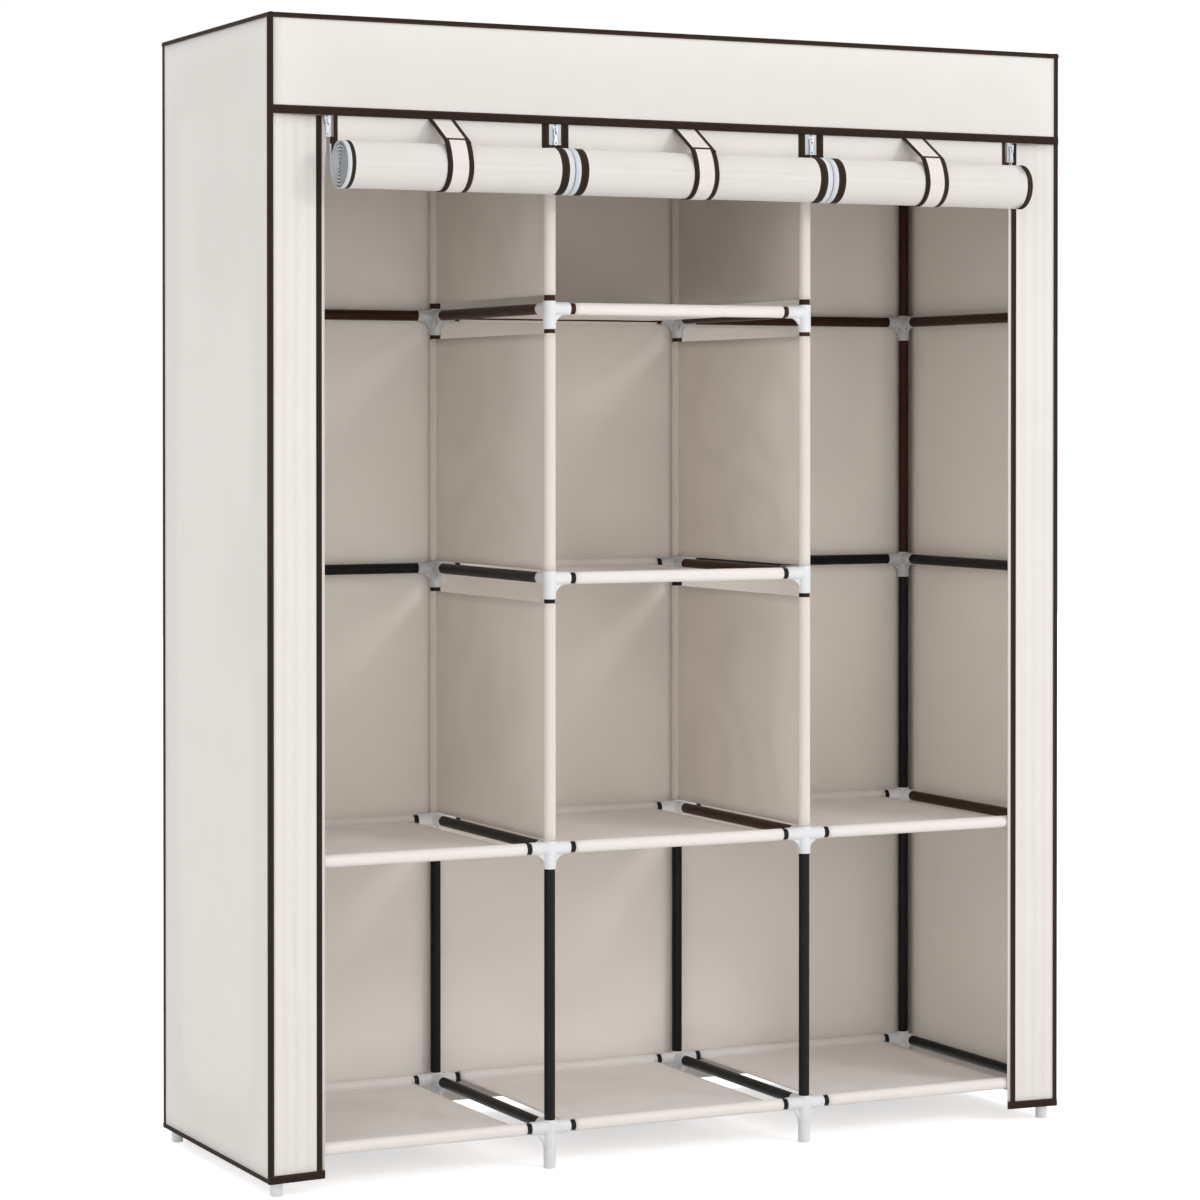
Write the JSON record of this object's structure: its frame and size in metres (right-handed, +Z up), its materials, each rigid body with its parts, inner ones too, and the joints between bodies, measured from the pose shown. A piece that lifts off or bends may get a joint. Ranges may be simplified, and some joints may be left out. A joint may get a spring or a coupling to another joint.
{
  "type": "portable fabric wardrobe",
  "caption": "Free-standing tube-frame wardrobe under a zipped cloth cover, with cloth shelves and dividers, hanging space and rolled-up doors.",
  "frame": {"origin": "middle of the plan box on the floor, below the wardrobe", "axes": "+Z up, the open front faces -Y, +X to the right when seen from the front"},
  "size_m": [1.3, 0.5184, 1.65],
  "materials": {
    "cover_cloth": "matt non-woven cloth",
    "shelf_cloth": "matt non-woven cloth",
    "divider_cloth": "matt non-woven cloth",
    "connector": "satin moulded plastic",
    "black_tube": "satin powder coat",
    "brown_tube": "satin powder coat",
    "zip_metal": "bright nickel plate"
  },
  "bodies": {
    "root": {"post_front_1": "connector", "post_front_2": "connector", "post_front_3": "connector", "post_front_4": "connector", "post_back_1": "connector", "post_back_2": "connector", "post_back_3": "connector", "post_back_4": "connector", "depth_rail_1_level_0": "black_tube", "depth_rail_1_level_1": "black_tube", "depth_rail_1_level_2": "black_tube", "depth_rail_1_level_3": "brown_tube", "depth_rail_2_level_0": "black_tube", "depth_rail_2_level_1": "black_tube", "depth_rail_2_level_2": "black_tube", "depth_rail_2_level_3": "brown_tube", "depth_rail_3_level_0": "black_tube", "depth_rail_3_level_1": "brown_tube", "depth_rail_3_level_2": "brown_tube", "depth_rail_3_level_3": "brown_tube", "depth_rail_4_level_0": "black_tube", "depth_rail_4_level_1": "brown_tube", "depth_rail_4_level_2": "brown_tube", "depth_rail_4_level_3": "brown_tube", "top_frame": "connector", "shelf_left_level_0": "shelf_cloth", "shelf_left_level_1": "shelf_cloth", "back_rail_left_level_2": "black_tube", "back_rail_left_level_3": "brown_tube", "shelf_middle_level_0": "shelf_cloth", "shelf_middle_level_1": "shelf_cloth", "shelf_middle_level_2": "shelf_cloth", "shelf_middle_level_3": "shelf_cloth", "shelf_right_level_0": "shelf_cloth", "shelf_right_level_1": "shelf_cloth", "back_rail_right_level_2": "black_tube", "back_rail_right_level_3": "brown_tube", "divider_left_low": "divider_cloth", "divider_left_middle": "divider_cloth", "divider_left_high": "divider_cloth", "divider_right_low": "divider_cloth", "divider_right_middle": "divider_cloth", "divider_right_high": "divider_cloth", "cover_left": "cover_cloth", "cover_right": "cover_cloth", "cover_back_and_top": "cover_cloth"},
    "door_left": {"door_roll_left": "cover_cloth", "door_strap_left": "cover_cloth"},
    "door_middle": {"door_roll_middle": "cover_cloth", "door_strap_middle": "cover_cloth"},
    "door_right": {"door_roll_right": "cover_cloth", "door_strap_right": "cover_cloth"},
    "slider_1": {"zip_slider_1": "zip_metal"},
    "pull_1": {"zip_pull_1": "zip_metal"},
    "slider_2": {"zip_slider_2": "zip_metal"},
    "pull_2": {"zip_pull_2": "zip_metal"},
    "slider_3": {"zip_slider_3": "zip_metal"},
    "pull_3": {"zip_pull_3": "zip_metal"},
    "slider_4": {"zip_slider_4": "zip_metal"},
    "pull_4": {"zip_pull_4": "zip_metal"}
  },
  "joints": [
    {"name": "door_swing_left", "type": "hinge", "parent": "root", "child": "door_left", "pos_m": [-0.387, -0.19084, 1.5107], "axis": [-1, 0, 0], "range_deg": [0, 60]},
    {"name": "door_swing_middle", "type": "hinge", "parent": "root", "child": "door_middle", "pos_m": [0, -0.19084, 1.5107], "axis": [-1, 0, 0], "range_deg": [0, 60]},
    {"name": "door_swing_right", "type": "hinge", "parent": "root", "child": "door_right", "pos_m": [0.387, -0.19084, 1.5107], "axis": [-1, 0, 0], "range_deg": [0, 60]},
    {"name": "zip_slide_1", "type": "slide", "parent": "root", "child": "slider_1", "axis": [0, 0, 1], "range_m": [-0.012, 0]},
    {"name": "pull_swing_1", "type": "hinge", "parent": "slider_1", "child": "pull_1", "pos_m": [-0.564, -0.19309, 1.5039], "axis": [-1, 0, 0], "range_deg": [0, 170]},
    {"name": "zip_slide_2", "type": "slide", "parent": "root", "child": "slider_2", "axis": [0, 0, 1], "range_m": [-0.012, 0]},
    {"name": "pull_swing_2", "type": "hinge", "parent": "slider_2", "child": "pull_2", "pos_m": [-0.21133, -0.19309, 1.5039], "axis": [-1, 0, 0], "range_deg": [0, 170]},
    {"name": "zip_slide_3", "type": "slide", "parent": "root", "child": "slider_3", "axis": [0, 0, 1], "range_m": [-0.012, 0]},
    {"name": "pull_swing_3", "type": "hinge", "parent": "slider_3", "child": "pull_3", "pos_m": [0.21133, -0.19309, 1.5039], "axis": [-1, 0, 0], "range_deg": [0, 170]},
    {"name": "zip_slide_4", "type": "slide", "parent": "root", "child": "slider_4", "axis": [0, 0, 1], "range_m": [-0.012, 0]},
    {"name": "pull_swing_4", "type": "hinge", "parent": "slider_4", "child": "pull_4", "pos_m": [0.564, -0.19309, 1.5039], "axis": [-1, 0, 0], "range_deg": [0, 170]}
  ]
}
